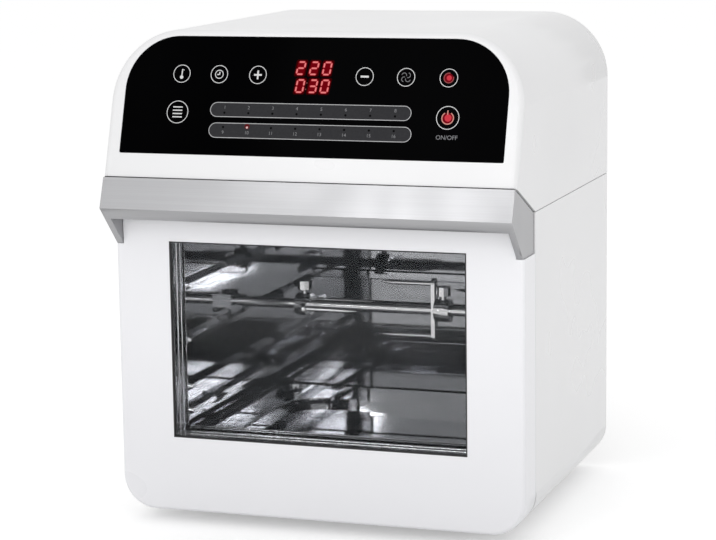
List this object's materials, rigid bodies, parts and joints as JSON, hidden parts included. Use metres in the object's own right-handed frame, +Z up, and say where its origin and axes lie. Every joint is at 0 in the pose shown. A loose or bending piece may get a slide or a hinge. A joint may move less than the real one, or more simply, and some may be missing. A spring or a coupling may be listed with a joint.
{
  "type": "multicooker",
  "caption": "Digital air fryer oven with a touch panel, a window door hinged at its bottom edge, a convection heater and a motor-driven spit.",
  "frame": {"origin": "on the table, under the middle of the closed cooker's outline", "axes": "+X to the right seen from the front, -Y out of the door, +Z up"},
  "size_m": [0.32, 0.29, 0.377],
  "materials": {
    "white_moulding": "satin white moulded casing",
    "door_moulding": "satin white moulded door",
    "silver_handle": "fine brushed satin silver",
    "panel_black": "high gloss black touch panel",
    "window_glass": "clear toughened glass",
    "polished_steel": "polished pressed steel sheet",
    "dark_enamel": "dark smoked steel sheet",
    "zinc_sheet": "zinc coated sheet",
    "steel_rod": "polished steel rod",
    "heater_tube": "heat darkened steel tube",
    "black_plastic": "fine grained black plastic",
    "rubber_black": "matt black rubber",
    "gasket_grey": "grey silicone seal",
    "circuit_board": "green coated board",
    "display_red": "dark red filter",
    "brass_bush": "sintered bronze",
    "screw_steel": "zinc plated screws",
    "lamp_glass": "clear domed glass",
    "magnet_grey": "nickel plated magnet"
  },
  "bodies": {
    "root": {"upper_housing": "white_moulding", "lower_housing": "white_moulding", "rear_panel": "black_plastic", "rear_panel_screws": "screw_steel", "cord_gland": "rubber_black", "feet": "rubber_black", "base_screws": "screw_steel", "control_panel": "panel_black", "control_board": "circuit_board", "display_block": "display_red", "key_springs": "screw_steel", "indicator_light_guides": "black_plastic", "front_frame": "polished_steel", "door_gasket": "gasket_grey", "cavity_left_wall": "polished_steel", "cavity_right_wall": "polished_steel", "cavity_back_wall": "dark_enamel", "cavity_floor": "polished_steel", "cavity_ceiling": "polished_steel", "heater_grille": "polished_steel", "fan_shroud": "zinc_sheet", "heating_element": "heater_tube", "heater_clips": "zinc_sheet", "fan_motor": "zinc_sheet", "motor_bracket": "zinc_sheet", "heat_shield": "zinc_sheet", "power_board": "circuit_board", "power_board_parts": "black_plastic", "thermal_cut_out": "black_plastic", "temperature_probe": "steel_rod", "door_sensor": "black_plastic", "door_magnets": "magnet_grey", "lamp_cover": "lamp_glass", "lamp_holder": "zinc_sheet", "lamp_bulb": "lamp_glass", "rotisserie_motor": "zinc_sheet", "spit_support": "polished_steel", "hinge_brackets": "zinc_sheet", "hinge_pins": "steel_rod"},
    "door": {"door_frame": "door_moulding", "door_glass_outer": "window_glass", "door_glass_inner": "window_glass", "window_liner": "dark_enamel", "door_inner_panel": "polished_steel", "door_handle": "silver_handle", "door_screws": "screw_steel", "door_strikes": "screw_steel", "door_sensor_magnet": "magnet_grey", "hinge_bushes": "brass_bush"},
    "fan": {"convection_fan": "zinc_sheet", "cooling_fan": "zinc_sheet", "motor_shaft": "steel_rod"},
    "drive": {"drive_socket": "steel_rod"},
    "spit": {"spit_rod": "steel_rod"},
    "fork_left": {"spit_fork_left": "steel_rod"},
    "fork_right": {"spit_fork_right": "steel_rod"},
    "screw_left": {"fork_screw_left": "steel_rod"},
    "screw_right": {"fork_screw_right": "steel_rod"},
    "tray": {"drip_tray": "polished_steel"}
  },
  "joints": [
    {"name": "door_hinge", "type": "hinge", "parent": "root", "child": "door", "pos_m": [0, -0.097, 0.026], "axis": [1, 0, 0], "range_deg": [0, 80]},
    {"name": "fan_spin", "type": "hinge", "parent": "root", "child": "fan", "pos_m": [0, 0.0195, 0.28], "axis": [0, 0, 1], "continuous": true},
    {"name": "spit_spin", "type": "hinge", "parent": "root", "child": "spit", "pos_m": [0, 0.0195, 0.15], "axis": [1, 0, 0], "continuous": true},
    {"name": "drive_spin", "type": "hinge", "parent": "root", "child": "drive", "pos_m": [0.118, 0.0195, 0.15], "axis": [1, 0, 0], "continuous": true},
    {"name": "tray_slide", "type": "slide", "parent": "root", "child": "tray", "axis": [0, -1, 0], "range_m": [0, 0.004]},
    {"name": "fork_left_slide", "type": "slide", "parent": "spit", "child": "fork_left", "axis": [1, 0, 0], "range_m": [-0.04, 0.014]},
    {"name": "fork_screw_left_turn", "type": "hinge", "parent": "fork_left", "child": "screw_left", "pos_m": [-0.058, 0.0195, 0.158], "axis": [0, 0, 1], "range_deg": [0, 360]},
    {"name": "fork_right_slide", "type": "slide", "parent": "spit", "child": "fork_right", "axis": [1, 0, 0], "range_m": [-0.014, 0.04]},
    {"name": "fork_screw_right_turn", "type": "hinge", "parent": "fork_right", "child": "screw_right", "pos_m": [0.058, 0.0195, 0.158], "axis": [0, 0, 1], "range_deg": [0, 360]}
  ],
  "couplings": [
    {"joint": "drive_spin", "follows": "spit_spin", "ratio": 1}
  ]
}
